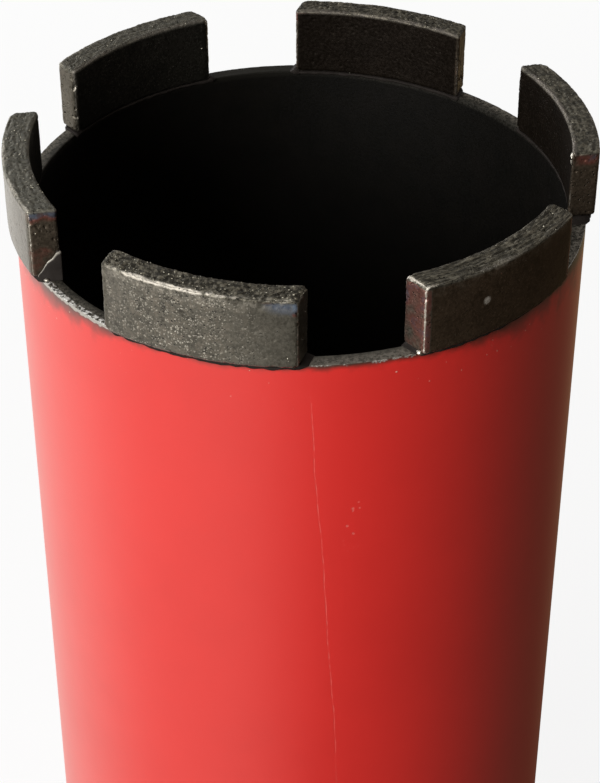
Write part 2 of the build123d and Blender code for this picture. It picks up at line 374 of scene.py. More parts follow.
def makeMatrixMetal():
    look = matrixLook
    material, tree, shader = newFinish("diamondMatrix", Specular_IOR_Level=0.5,
                                       Coat_Roughness=look["coatRoughness"])
    place = attribute(tree, "place", "Vector")
    traits = ("shift", "edge", "grit", "mottled", "tempered", "ridged", "shine", "endShine", "rosy",
              "inneredge", "smoky", "spot")
    stored = [attribute(tree, trait, "Fac") for trait in traits]
    shift, edge, grit, mottled, tempered, ridged, shine, endShine, rosy, innerEdge, smoky, spot = stored
    where = vectorCalc("ADD", place, joinXyz(shift, shift * 1.7, shift))
    across, along, up = splitXyz(place)
    body = useGroup(grain, Where=where, Fine_Scale=2.6, Coarse_Scale=0.22)
    onTop = remap(up, look["halfHeight"] - 0.75, look["halfHeight"] - 0.3)
    notTop = 1.0 - onTop
    onEnd = remap(do("ABSOLUTE", along), look["halfLength"] - 0.6, look["halfLength"] - 0.25) * notTop
    onFlank = notTop * (1.0 - onEnd)
    onInside = remap(across, -1.3, -1.6) * onFlank
    tone = body["Fine"] * 0.55 + body["Coarse"] * 0.45
    colour = mixed(remap(tone, 0.36, 0.66), look["dark"], look["pale"])
    onOuter = onFlank * remap(across, 1.2, 1.6)
    # flecks of released metal on the flanks, in patches, over a mottled ground
    ground = cloud(where, 0.9, 5.0, 0.7)
    blotch = mottled * onFlank * 0.75
    colour = mixed(blotch * remap(ground, 0.46, 0.62), colour, look["blotch"])
    colour = mixed(blotch * remap(ground, 0.46, 0.34), colour, look["stain"])
    flakes = useGroup(specks, Where=where, Scale=3.4, Size=0.40, Share=0.8)
    patch = remap(cloud(where, 0.4, 6.0, 0.75), 0.38, 0.54)
    mottle = flakes["Mask"] * patch * (onFlank * mottled)
    colour = mixed(mottle * (flakes["Tone"] * 0.85), colour, look["flake"])
    # crown: ridged along its length on some segments, pitted on others; inner flank darkened as painted shade
    ridge = cloud(vectorCalc("MULTIPLY", where, (3.0, 0.5, 3.0)), 1.0, 5.0, 0.68)
    lumps = cloud(where, 1.7, 5.0, 0.65)
    crown = ridge * ridged + lumps * (1.0 - ridged)
    topTone = mixed(remap(crown, 0.43, 0.62), look["crownDark"], look["crownPale"])
    topTone = mixed(remap(ridged, 0.0, 0.14, 0.7, 0.0), topTone, look["plainCrown"])
    colour = mixed(onTop, colour, topTone)
    # painted shade on the inner flank, inside the barrel
    colour = mixed(onInside * 0.85, colour, look["innerFlankShade"])
    # heat colours: rosy brown on the ends, blue close under the top edge
    endSmoke = onEnd * tempered * remap(across, 1.7, 1.4)
    smoked = do("MAXIMUM", smoky * (1.0 - rosy * onEnd), endSmoke) * notTop
    colour = mixed(smoked, colour, look["smoke"], "MULTIPLY")
    underTop = remap(up, 1.6, 4.4) * (1.0 - onInside)
    level = do("MAXIMUM", onEnd * (rosy * 0.6), tempered * underTop * 1.2)
    heat = useGroup(heatTint, Where=where, Level=level)
    blued = mixed(remap(level, 0.15, 1.1), look["grey"], look["blued"])
    tint = mixed(onOuter, heat["Tint"], blued)
    shown = heat["Mask"] * (remap(level, 0.02, 0.3) * notTop)
    colour = mixed(shown * 0.85, colour, tint)
    # painted shade: pits darkened nearly to black
    pits = body["Pits"] * remap(body["Coarse"], 0.42, 0.56, 0.15, 0.95)
    pits = pits * mixed(onFlank, (1, 1, 1, 1), 0.2 + mottled * 0.8)
    colour = mixed(pits, colour, look["pit"])
    # bright worn metal along the edges, most on the outer top edge and at the struck ends, with painted
    # highlight there too: strongest on the segments the light falls on, and also on the upper outer flank and
    # the inner top edge
    outerTop = remap(across, 0.95, 1.7) * remap(up, 3.85, 4.7) * 0.62
    chewedAndHighlit = useGroup(edgeWear, Where=where, Edge=outerTop, Reach=0.52, Scale=1.15, Patchy=2.6)["Mask"]
    chewedAndHighlit = chewedAndHighlit * (shine * remap(body["Fine"], 0.35, 0.6, 0.35, 0.95))
    dustAndSheen = remap(across, 0.8, 1.5) * remap(up, 2.6, 4.6) * shine * remap(ground, 0.42, 0.62, 0.0, 0.5)
    colour = mixed(dustAndSheen, colour, look["flake"])
    reach = 0.1 + endShine * 0.45
    worn = useGroup(edgeWear, Where=where, Edge=edge, Reach=reach, Scale=1.6, Patchy=1.4)["Mask"]
    worn = worn * (0.12 + endShine * 0.7)
    colour = mixed(do("MAXIMUM", worn, chewedAndHighlit), colour, look["worn"])
    innerTop = remap(across, -1.0, -1.5) * remap(up, 4.1, 4.6)
    innerTop = innerTop * remap(cloud(where, 0.3, 3.0), 0.35, 0.6, 0.2, 1.0) * innerEdge
    colour = mixed(innerTop, colour, look["innerEdge"])
    splash = spot * onOuter
    colour = mixed(splash * remap(body["Fine"], 0.3, 0.6, 0.5, 1.0), colour, look["splash"])
    onGrit = remap(grit, 0.05, 0.3)
    # painted glints: the brightest crystals pale
    sparkle = do("POWER", remap(grit, 0.3, 1.0), 3.0)
    crystal = mixed(sparkle, look["crystalDark"], look["crystalGlint"])
    colour = mixed(onGrit, colour, crystal)
    metallic = look["metallic"] * (1.0 - do("MAXIMUM", onGrit, splash))
    rough = remap(body["Fine"], 0.3, 0.7, 0.32, 0.48) + onTop * 0.25 + mottle * 0.15 - onGrit * 0.25
    burnished = onOuter * ((1.0 - smoky) * 0.9) * (1.0 - mottle)
    fed(shader, Base_Color=colour, Metallic=metallic, Roughness=rough, Coat_Weight=burnished)
    height = body["Fine"] - pits * 1.5 + crown * onTop * 2.0 + mottle
    bumpFrom(shader, height, look["bump"] * mm)
    return material


# silver braze, painted near black as shade, bright silver where marked bright: stray beads, and a painted
# highlight along the crest of tall ends

brazeLook = {
    "dark": (0.010, 0.008, 0.007, 1), "brownShade": (0.03, 0.025, 0.022, 1), "silver": (0.66, 0.62, 0.54, 1),
    "bump": 0.03,
}


def makeBraze():
    look = brazeLook
    material, tree, shader = newFinish("silverBraze", Specular_IOR_Level=0.08)
    where = inMillimetres(tree)
    brazeGrain = useGroup(grain, Where=where, Fine_Scale=1.8, Coarse_Scale=0.5)
    level = remap(attribute(tree, "bright", "Fac"), 0.45, 0.9)
    level = do("MULTIPLY", level, remap(brazeGrain["Coarse"], 0.3, 0.6, 0.4, 1.0), clamp=True)
    colour = mixed(brazeGrain["Coarse"], look["dark"], look["brownShade"])
    colour = mixed(level, colour, look["silver"])
    rough = remap(brazeGrain["Fine"], 0.3, 0.7, 0.6, 0.75) - level * 0.38
    fed(shader, Base_Color=colour, Metallic=remap(level, 0.0, 1.0, 0.05, 1.0), Roughness=rough)
    bumpFrom(shader, brazeGrain["Fine"], look["bump"] * mm)
    return material


# turned steel of the hub

hubLook = {
    "dark": (0.30, 0.29, 0.27, 1), "pale": (0.44, 0.43, 0.41, 1), "stain": (0.16, 0.11, 0.07, 1),
    "turnings": 5.0, "bump": 0.02,
}


def makeHubSteel():
    look = hubLook
    material, tree, shader = newFinish("hubSteel", Specular_IOR_Level=0.5, Metallic=1.0)
    where = inMillimetres(tree)
    x, y, z = splitXyz(where)
    radius = do("SQRT", x * x + y * y)
    body = useGroup(grain, Where=where, Fine_Scale=1.4, Coarse_Scale=0.12)
    lines = cloud(joinXyz(radius * look["turnings"], 0.0, z * look["turnings"]), 1.0, 2.0)
    colour = mixed(body["Coarse"], look["dark"], look["pale"])
    stain = remap(body["Coarse"], 0.55, 0.75, 0.0, 0.5)
    colour = mixed(stain, colour, look["stain"])
    fed(shader, Base_Color=colour, Roughness=remap(lines, 0.3, 0.7, 0.3, 0.46))
    bumpFrom(shader, lines, look["bump"] * mm)
    return material


scuffedPaint = makeRedPaint("redPaint", True)
plainPaint = makeRedPaint("redPaintPlain", False)
platePaint = makeRedPaint("redPaintPlate", False, 36.05)
boreSteel = makeBoreSteel()
matrixMetal = makeMatrixMetal()
silverBraze = makeBraze()
hubSteel = makeHubSteel()
print("finishes made")


# making and finishing pieces

def placed(name, data):
    thing = bpy.data.objects.new(name, data)
    bpy.context.scene.collection.objects.link(thing)
    return thing


def meshPiece(name, points, faces, materials, faceMaterial=None, brightness=None):
    mesh = bpy.data.meshes.new(name)
    mesh.from_pydata(points, [], [tuple(face) for face in faces])
    for material in materials:
        mesh.materials.append(material)
    if faceMaterial is not None:
        mesh.polygons.foreach_set("material_index", np.asarray(faceMaterial, np.int32))
    if brightness is not None:
        mesh.attributes.new("bright", "FLOAT", "POINT").data.foreach_set("value", brightness)
    form = bmesh.new()
    form.from_mesh(mesh)
    bmesh.ops.remove_doubles(form, verts=form.verts, dist=1e-7)
    bmesh.ops.recalc_face_normals(form, faces=form.faces)
    form.to_mesh(mesh)
    form.free()
    mesh.shade_smooth()
    return placed(name, mesh)


def wrapFaces(rows, columns):
    row, column = np.meshgrid(np.arange(rows), np.arange(columns), indexing="ij")
    down = (row + 1) % rows
    over = (column + 1) % columns
    corners = (row * columns + column, down * columns + column, down * columns + over, row * columns + over)
    return np.stack(corners, -1).reshape(-1, 4)


def growPiece(name, tree, values):
    piece = placed(name, bpy.data.meshes.new(name))
    modifier = piece.modifiers.new("grow", "NODES")
    modifier.node_group = tree
    for socket in tree.interface.items_tree:
        if socket.in_out == "INPUT" and socket.name in values:
            modifier[socket.identifier] = values[socket.name]
    sight = bpy.context.evaluated_depsgraph_get()
    grown = bpy.data.meshes.new_from_object(piece.evaluated_get(sight), preserve_all_data_layers=True,
                                            depsgraph=sight)
    piece.modifiers.remove(modifier)
    piece.data = grown
    grown.name = name
    return piece


def finish(piece, slot, *replaced):
    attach(piece, "root")
    if replaced:
        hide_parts(*replaced)


# barrel: thin steel tube with a worn rim

barrelPlan = {    # millimetres
    "outer": 37.0, "inner": 35.0, "foot": 36.0, "rim": 186.0, "rootFace": 0.8, "stations": 900,
    "chamfer": 0.16, "wear": 0.06, "nicks": 0.16,
}


def makeBarrel():
    plan = barrelPlan
    outer, inner, rim, foot = plan["outer"], plan["inner"], plan["rim"], plan["foot"]
    cut = plan["chamfer"]
    groove = outer - inner - plan["rootFace"]
    profile = [(outer - groove, foot), (outer, foot + groove)]
    for start, end, count in ((foot + 6, rim - 6, 22), (rim - 5, rim - 1.2, 10), (rim - 1.0, rim - cut, 6)):
        profile += [(outer, z) for z in np.linspace(start, end, count)]
    turns = np.linspace(0.3, 1.57, 4)
    profile += [(outer - cut * (1 - math.cos(a)), rim - cut * (1 - math.sin(a))) for a in turns]
    profile += [(r, rim) for r in np.linspace(outer - cut - 0.15, inner + cut + 0.15, 8)]
    turns = np.linspace(0.0, 1.3, 4)
    profile += [(inner + cut * (1 - math.sin(a)), rim - cut * (1 - math.cos(a))) for a in turns]
    for start, end, count in ((rim - cut, rim - 1.0, 5), (rim - 1.6, rim - 8, 8), (rim - 14, foot, 10)):
        profile += [(inner, z) for z in np.linspace(start, end, count)]
    count = plan["stations"]
    points = []
    for r, z in profile:
        for step in range(count):
            turn = math.tau * step / count
            c, s = math.cos(turn), math.sin(turn)
            radius, height = r, z
            depth = rim - z
            if depth < 2.0:
                rough = noise.noise(Vector((c * 30, s * 30, z * 0.8))) * 0.5 + 0.5
                broad = noise.noise(Vector((c * 7 + 9, s * 7, 0))) * 0.5 + 0.5
                nick = max(0.0, noise.noise(Vector((c * 55, s * 55, 3.3))) - 0.28) * plan["nicks"]
                fade = 1 - depth / 2.0
                lip = min(1.0, max(0.0, (r - inner) / (outer - inner)))
                sunk = plan["wear"] * rough * (0.25 + 0.5 * broad) + nick
                height -= sunk * fade * (0.35 + 0.65 * lip)
                if r > outer - 0.6:
                    radius -= (0.05 * rough + nick * 0.6) * fade
            points.append((radius * c * mm, radius * s * mm, height * mm))
    faces = wrapFaces(len(profile), count)
    outside = [r > outer - 0.06 and z < rim - 0.1 or z < foot + 2 for r, z in profile]
    faceMaterial = np.repeat([0 if flag else 1 for flag in outside], count)
    piece = meshPiece("barrelShell", points, faces, [scuffedPaint, boreSteel], faceMaterial)
    finish(piece, "red_paint", "barrel")


makeBarrel()
print("barrel made")


# segments: one rule for all six, each with its own wear

segmentPlan = {    # millimetres and shares, for every segment that has no own value below
    "Thickness": 3.5, "Length": 24.0, "Height": 9.6, "Inner Radius": 34.5, "Seat": 186.2, "Step": 0.15,
    "Edge Radius": 0.34, "Unevenness": 0.05, "Top Grain": 0.16, "Top Ridges": 0.22, "Side Grain": 0.04,
    "End Grain": 0.08, "Pit Depth": 0.22, "Edge Chips": 0.24, "Grit Density": 1.0, "Grit Size": 0.10,
    "Slide": 0.0, "Low Inner": 0.45, "High Inner": 0.45, "Low Outer": 0.34, "High Outer": 0.34,
    "Mottle Low": 0.3, "Mottle Mid": 0.15, "Mottle High": 0.3, "Temper Low": 0.1, "Temper High": 0.1,
    "Outer Temper": 0.0, "End Temper": 1.0, "Ridged": 0.3, "Shine": 0.2, "Shine Low": 0.2, "Shine High": 0.2,
    "Rosy": 0.3, "Inner Edge": 0.1, "Smoky": 0.0, "Spot Along": 0.0, "Spot Up": 0.0, "Spot Size": 0.0,
}
segmentWear = {    # rounding at the end with the lower and the higher angle, then each segment's own finish; Shine, Shine Low, Shine High and Inner Edge set painted highlight as well as wear
    1: {"Low Corner": 0.45, "High Corner": 0.5, "Low Foot": 0.5, "High Foot": 0.6, "Length": 24.2,
        "Slide": 0.6, "High Inner": 1.2, "High Outer": 1.1, "Grit Density": 0.4, "Temper Low": 0.45,
        "Ridged": 0.09, "Shine Low": 0.5, "Rosy": 0.2, "Inner Edge": 0.7, "Smoky": 1.0},
    2: {"Low Corner": 0.42, "High Corner": 0.5, "Low Foot": 0.3, "High Foot": 0.4, "High Inner": 0.8,
        "High Outer": 0.9, "Low Outer": 0.25, "Grit Density": 0.6, "Temper High": 0.6, "Ridged": 0.35,
        "Inner Edge": 0.5, "Mottle Low": 0.0, "Mottle Mid": 0.0, "Mottle High": 0.0, "Smoky": 1.0},
    3: {"Low Corner": 1.1, "High Corner": 0.5, "Low Foot": 0.5, "High Foot": 0.6, "Low Inner": 1.5,
        "High Inner": 1.0, "High Outer": 0.5, "Grit Density": 0.6, "Temper High": 0.15, "Ridged": 0.05,
        "Rosy": 0.0, "Inner Edge": 0.35},
    4: {"Low Corner": 0.5, "High Corner": 0.5, "Low Foot": 0.5, "High Foot": 0.5, "Length": 24.9,
        "Slide": -0.45, "Low Inner": 1.1, "Low Outer": 1.2, "Temper High": 0.68, "Ridged": 0.0, "Shine": 0.4,
        "Shine High": 0.45, "Rosy": 0.42, "Mottle High": 0.25, "Grit Density": 1.3},
    5: {"Low Corner": 0.45, "High Corner": 0.7, "Low Foot": 1.0, "High Foot": 0.6, "Length": 24.5,
        "Slide": -0.25, "Low Inner": 1.1, "Mottle Low": 0.65, "Mottle Mid": 0.7, "Mottle High": 0.0,
        "Temper High": 1.0, "Rosy": 0.12, "Outer Temper": 0.95, "End Temper": 0.2, "Ridged": 0.15,
        "Shine": 1.0, "Shine Low": 0.5, "Shine High": 0.4, "Grit Density": 2.2, "Edge Chips": 0.42},
    6: {"Low Corner": 0.9, "High Corner": 0.6, "Low Foot": 0.45, "High Foot": 0.6, "Length": 24.8,
        "Slide": 0.05, "Low Inner": 0.6, "High Inner": 1.2, "High Outer": 0.5, "Mottle Low": 0.15,
        "Mottle High": 0.1, "Ridged": 0.8, "Shine": 0.3, "Shine Low": 0.9, "Rosy": 0.85, "Grit Density": 0.3,
        "Smoky": 1.0, "Edge Chips": 0.34, "Top Ridges": 0.34, "Spot Along": -3.99, "Spot Up": 0.19,
        "Spot Size": 0.62},
}


def coat(tree, geometry, position, material, result):    # the last steps of both trees
    moved = fed(put(tree, "GeometryNodeSetPosition"), Geometry=geometry, Position=position)
    smooth = fed(put(tree, "GeometryNodeSetShadeSmooth"), Geometry=moved.outputs["Geometry"])
    solid = fed(put(tree, "GeometryNodeRealizeInstances"), Geometry=smooth.outputs["Geometry"])
    coated = fed(put(tree, "GeometryNodeSetMaterial"), Geometry=solid.outputs["Geometry"], Material=material)
    fed(result, Geometry=coated.outputs["Geometry"])


def makeSegmentTree():
    inputs = {"Finish": "Material", "Angle": 0.0, "Shift": 0.0, "Seed": 1, **segmentPlan, **segmentWear[1]}
    tree, given, result = newGroup("crownSegment", "GeometryNodeTree", inputs, {"Geometry": "Geometry"})
    halfAcross = given["Thickness"] * 0.5
    halfAlong = given["Length"] * 0.5
    halfUp = given["Height"] * 0.5
    block = put(tree, "GeometryNodeMeshCube")
    feed(block.inputs["Size"], joinXyz(given["Thickness"], given["Length"], given["Height"]))
    for axis, length in (("X", "Thickness"), ("Y", "Length"), ("Z", "Height")):
        feed(block.inputs["Vertices " + axis], do("CEIL", given[length] / given["Step"]) + 1.0)

    def position():
        return source(tree, "GeometryNodeInputPosition", "Position")

    def pick(flag, whenFalse, whenTrue):
        return whenFalse + flag * (whenTrue - whenFalse)

    def distance(first, second):
        return do("SQRT", first * first + second * second)

    # corners of the side view first, then the edges all round
    across, along, up = splitXyz(position())
    a, b, c = (do("ABSOLUTE", v) for v in (across, along, up))
    isHigh = do("GREATER_THAN", along, 0.0)
    isTop = do("GREATER_THAN", up, 0.0)
    top = pick(isHigh, given["Low Corner"], given["High Corner"])
    foot = pick(isHigh, given["Low Foot"], given["High Foot"])
    corner = pick(isTop, foot, top)
    overAlong = b - (halfAlong - corner)
    overUp = c - (halfUp - corner)
    cornerAlong = do("MAXIMUM", overAlong, 0.0)
    cornerUp = do("MAXIMUM", overUp, 0.0)
    reach = do("MAXIMUM", cornerAlong, cornerUp)
    size = do("MAXIMUM", distance(cornerAlong, cornerUp), 1e-5)
    pull = (1.0 - reach / size) * do("GREATER_THAN", reach, 1e-4)
    isOuter = do("GREATER_THAN", across, 0.0)
    upright = pick(isHigh, pick(isOuter, given["Low Inner"], given["Low Outer"]),
                   pick(isOuter, given["High Inner"], given["High Outer"]))
    nearUpright = remap(halfUp - c - (halfAlong - b), -1.3, 0.1)
    edgeRadius = pick(nearUpright, given["Edge Radius"], upright)
    fromRim = corner - do("MAXIMUM", overAlong, overUp)
    intoRim = do("MAXIMUM", edgeRadius - fromRim, 0.0)
    intoFace = do("MAXIMUM", a - (halfAcross - edgeRadius), 0.0)
    reachEdge = do("MAXIMUM", intoRim, intoFace)
    sizeEdge = do("MAXIMUM", distance(intoRim, intoFace), 1e-5)
    pullEdge = (1.0 - reachEdge / sizeEdge) * do("GREATER_THAN", reachEdge, 1e-4)
    back = intoRim * pullEdge
    newAcross = (a - intoFace * pullEdge) * do("SIGN", across)
    newAlong = (b - cornerAlong * pull - cornerAlong / size * back) * do("SIGN", along)
    newUp = (c - cornerUp * pull - cornerUp / size * back) * do("SIGN", up)
    nearEdge = do("MINIMUM", intoRim, intoFace) / edgeRadius
    edge = do("MAXIMUM", nearEdge, do("MINIMUM", cornerAlong, cornerUp) / (corner * 1.6))

    def keep(geometry, name, value, kind="FLOAT", domain="POINT"):
        node = put(tree, "GeometryNodeStoreNamedAttribute", data_type=kind, domain=domain)
        return fed(node, Geometry=geometry, Name=name, Value=value).outputs["Geometry"]

    # what depends on the block's own places is stored before the block is rounded
    run = remap(along / given["Length"], -0.5, 0.5)
    hump = run * (1.0 - run) * 4.0
    onSide = do("GREATER_THAN", across, halfAcross - 0.01)
    tempered = remap(b, 6.5, 10.8) * pick(isHigh, given["Temper Low"], given["Temper High"])
    fromSpot = distance(along - given["Spot Along"], up - given["Spot Up"])
    blockValues = {
        "edge": edge,
        "mottled": pick(run, given["Mottle Low"], given["Mottle High"]) + hump * given["Mottle Mid"],
        "tempered": tempered * pick(onSide, given["End Temper"], given["Outer Temper"]),
        "spot": remap(fromSpot, given["Spot Size"] * 0.6, given["Spot Size"] + 0.001, 1.0, 0.0),
        "endShine": remap(b, 10.0, 11.6) * pick(isHigh, given["Shine Low"], given["Shine High"]),
    }
    stored = block.outputs["Mesh"]
    for name, value in blockValues.items():
        stored = keep(stored, name, value)
    rounded = fed(put(tree, "GeometryNodeSetPosition"), Geometry=stored,
                  Position=joinXyz(newAcross, newAlong, newUp))
    shaped = keep(rounded.outputs["Geometry"], "place", position(), "FLOAT_VECTOR")
    shaped = keep(shaped, "shift", given["Shift"])
    shaped = keep(shaped, "grit", 0.0)
    for name in ("Ridged", "Shine", "Rosy", "Inner Edge", "Smoky"):
        shaped = keep(shaped, name.replace(" ", "").lower(), given[name])

    # worn skin: always inwards, so that the segment keeps its size
    where = vectorCalc("ADD", position(), joinXyz(given["Shift"], given["Shift"] * 1.7, given["Shift"]))
    normal = source(tree, "GeometryNodeInputNormal", "Normal")
    faceAcross, faceAlong, faceUp = splitXyz(normal)
    topFace = remap(faceUp, 0.35, 0.8)
    endFace = remap(do("ABSOLUTE", faceAlong), 0.4, 0.8)
    sideFace = remap(do("ABSOLUTE", faceAcross), 0.4, 0.8)

    def sunk(height):    # only the hollows count, so that the high spots stay at full size
        return do("MAXIMUM", (height - 0.44) * 2.4, 0.0)

    fine = sunk(cloud(where, 1.9, 4.0, 0.65))
    ridges = sunk(cloud(vectorCalc("MULTIPLY", where, (2.2, 0.4, 2.2)), 1.0, 3.0, 0.6))
    pits = remap(cells(where, 1.25)["Distance"], 0.12, 0.34, 1.0, 0.0)
    pitted = remap(cloud(where, 0.35, 2.0), 0.45, 0.6)
    chips = remap(cloud(where, 0.9, 3.0, 0.6), 0.5, 0.75)
    edgeHere = fed(put(tree, "GeometryNodeInputNamedAttribute", data_type="FLOAT"), Name="edge")
    depth = sunk(cloud(where, 0.18, 2.0)) * given["Unevenness"]
    depth = depth + fine * given["Top Grain"] * topFace + ridges * given["Top Ridges"] * topFace
    depth = depth + fine * given["Side Grain"] * sideFace + fine * given["End Grain"] * endFace
    pitShare = pitted * (topFace + endFace) + pitted * sideFace * 0.25
    depth = depth + pits * given["Pit Depth"] * pitShare
    depth = depth + chips * given["Edge Chips"] * Field(edgeHere.outputs["Attribute"])
    worn = fed(put(tree, "GeometryNodeSetPosition"), Geometry=shaped, Offset=scaled(normal, depth * -1.0))
    skin = worn.outputs["Geometry"]

    # crystals of grit, thick on the crown's top and thin on its flanks
    scatter = fed(put(tree, "GeometryNodeDistributePointsOnFaces"), Mesh=skin, Seed=given["Seed"],
                  Density=given["Grit Density"] * (0.012 + topFace))
    stone = fed(put(tree, "GeometryNodeMeshIcoSphere"), Subdivisions=1, Radius=given["Grit Size"])
    size = fed(put(tree, "FunctionNodeRandomValue", data_type="FLOAT_VECTOR"), Seed=given["Seed"])
    size.inputs[0].default_value = (0.45, 0.45, 0.3)
    size.inputs[1].default_value = (1.25, 1.25, 0.8)
    spread = fed(put(tree, "GeometryNodeInstanceOnPoints"), Points=scatter.outputs["Points"],
                 Instance=stone.outputs["Mesh"], Rotation=scatter.outputs["Rotation"], Scale=size.outputs[0])
    tone = put(tree, "FunctionNodeRandomValue", data_type="FLOAT")
    tone.inputs[2].default_value = 0.3
    tone.inputs[3].default_value = 1.0
    stones = keep(spread.outputs["Instances"], "grit", tone.outputs[1], "FLOAT", "INSTANCE")
    both = put(tree, "GeometryNodeJoinGeometry")
    feed(both.inputs[0], stones)
    feed(both.inputs[0], skin)
    solid = fed(put(tree, "GeometryNodeRealizeInstances"), Geometry=both.outputs[0])

    # bend to the crown's radius, the ends staying parallel, then turn to its place and go to metres
    across, along, up = splitXyz(position())
    radius = given["Inner Radius"] + halfAcross + do("MINIMUM", across, halfAcross)
    along = along + given["Slide"]
    out = do("SQRT", radius * radius - along * along)
    level = given["Seat"] + halfUp + do("MINIMUM", up, halfUp)
    turned = fed(put(tree, "ShaderNodeVectorRotate", rotation_type="Z_AXIS"),
                 Vector=joinXyz(out, along, level), Angle=given["Angle"])
    placing = scaled(Field(turned.outputs["Vector"]), mm)
    coat(tree, solid.outputs["Geometry"], placing, given["Finish"], result)
    return tree


segmentTree = makeSegmentTree()
for number, wear in segmentWear.items():
    values = dict(segmentPlan, **wear)
    values.update({"Finish": matrixMetal, "Angle": math.radians(60 * (number - 1)), "Shift": 13.7 * number,
                   "Seed": number})
    piece = growPiece(f"crown_{number}", segmentTree, values)
    finish(piece, "diamond_matrix", f"segment_{number}")
print("segments made")


# braze run round the foot of each segment, highest against its ends

brazePlan = {    # millimetres
    "halfLength": 12.0, "rim": 186.0, "middle": 36.0, "film": 0.2, "outerCover": 0.62, "innerCover": 0.42,
    "runDown": 0.55, "tallSide": 2.0, "crest": 0.09, "crestHighlight": 0.72, "top": 9.78, "stations": 150,
    "ring": 30,
}
brazeEnds = {    # for the low and the high end: reach along the rim, height outside and inside
    1: ((0.9, 0.5, 0.5), (0.8, 0.4, 0.5)),
    2: ((0.25, 0.3, 0.3), (0.75, 0.9, 0.9)),
    3: ((0.5, 0.3, 0.3), (0.12, 0.2, 0.2)),
    4: ((0.8, 0.4, 0.5), (0.9, 0.4, 4.3)),
    5: ((0.8, 0.4, 0.5), (0.8, 0.3, 0.4)),
    6: ((0.7, 0.4, 0.4), (0.8, 0.4, 0.5)),
}
brazeBeads = {    # along, radius, height over the rim, size, thickness and brightness of a stray bead
    1: [(-11.9, 35.5, 0.1, 0.34, 1, 1), (-11.2, 34.6, 9.2, 0.6, 0.5, 0.85),
        (-10.9, 34.5, 8.4, 0.55, 0.25, 0.7)],
    4: [(12.7, 36.7, 0.1, 0.30, 1, 1)],
    6: [(-12.2, 37.2, 0.12, 0.34, 1, 1)],
}


def makeBrazeRun(number):
    plan = brazePlan
    low, high = brazeEnds[number]
    half = plan["halfLength"]
    turn = math.radians(60 * (number - 1))
    cosTurn, sinTurn = math.cos(turn), math.sin(turn)
    ring = plan["ring"]
    stations = np.linspace(-half - low[0], half + high[0], plan["stations"])

    def place(radius, along, z):
        out = math.sqrt(radius * radius - along * along)
        return ((out * cosTurn - along * sinTurn) * mm, (out * sinTurn + along * cosTurn) * mm, z * mm)

    points, bright = [], []
    for along in stations:
        reach, outerHeight, innerHeight = high if along > 0 else low
        past = abs(along) - half
        tallEnd = innerHeight > plan["tallSide"]
        for step in range(ring):
            lean = math.tau * step / ring
            side, lift = math.cos(lean), math.sin(lean)    # side 1 is outside, -1 is inside
            lump = noise.noise(Vector((along * 0.9 + number * 9, side * 1.5, lift * 1.5)))
            if past < -0.5:    # under the segment: a film with a fillet on either side
                width = 1.0 + plan["outerCover" if side > 0 else "innerCover"] * (1 + 0.25 * lump)
                rise = plan["film"] if lift > 0 else -plan["runDown"] * (1 + 0.4 * lump)
                flat = 0.7
            else:
                fall = max(0.0, 1 - max(0.0, past) / reach)
                tall = (outerHeight + (innerHeight - outerHeight) * (0.5 - 0.5 * side)) * fall ** 1.7
                width = 1.0 + (0.10 + 0.35 * fall) * (1 + 0.4 * lump)
                rise = 0.02 + tall * (1 + 0.25 * lump) if lift > 0 else -(0.1 + 0.4 * fall)
                flat = 0.15 if tallEnd else 0.4
            points.append(place(plan["middle"] + width * side, along, plan["rim"] + rise * abs(lift) ** flat))
            # painted highlight along the crest of a tall end
            onCrest = tallEnd and 0 <= past < plan["crest"] and lift > 0.1
            bright.append(plan["crestHighlight"] if onCrest else 0.0)
    faces = wrapFaces(len(stations), ring)[: (len(stations) - 1) * ring].tolist()
    faces.append(list(range(ring)))
    faces.append(list(range(len(points) - 1, len(points) - 1 - ring, -1)))
    for along, radius, above, size, thick, shine in brazeBeads.get(number, []):
        first = len(points)
        bead = bmesh.new()
        bmesh.ops.create_icosphere(bead, subdivisions=3, radius=size)
        for vertex in bead.verts:
            v = vertex.co * (1 + 0.25 * noise.noise(vertex.co * 3))
            level = plan["rim"] + min(plan["top"], above + v.z * 0.85)
            points.append(place(radius + v.x * thick, along + v.y, level))
            bright.append(shine)
        faces += [[first + vertex.index for vertex in face.verts] for face in bead.faces]
        bead.free()
    piece = meshPiece(f"brazeRun_{number}", points, faces, [silverBraze], brightness=bright)
    finish(piece, "silver_braze", f"braze_{number}")


for number in brazeEnds:
    makeBrazeRun(number)
print("braze made")


# rippled weld beads

plateBeadPlan = {    # millimetres
    "Ring Radius": 36.3, "Height": 36.2, "Half Width": 2.3, "Half Depth": 0.98, "Ripples": 120.0,
    "Ripple Depth": 0.16,
}
hubBeadPlan = {
    "Ring Radius": 18.1, "Height": 30.1, "Half Width": 3.5, "Half Depth": 3.3, "Ripples": 62.0,
    "Ripple Depth": 0.28,
}


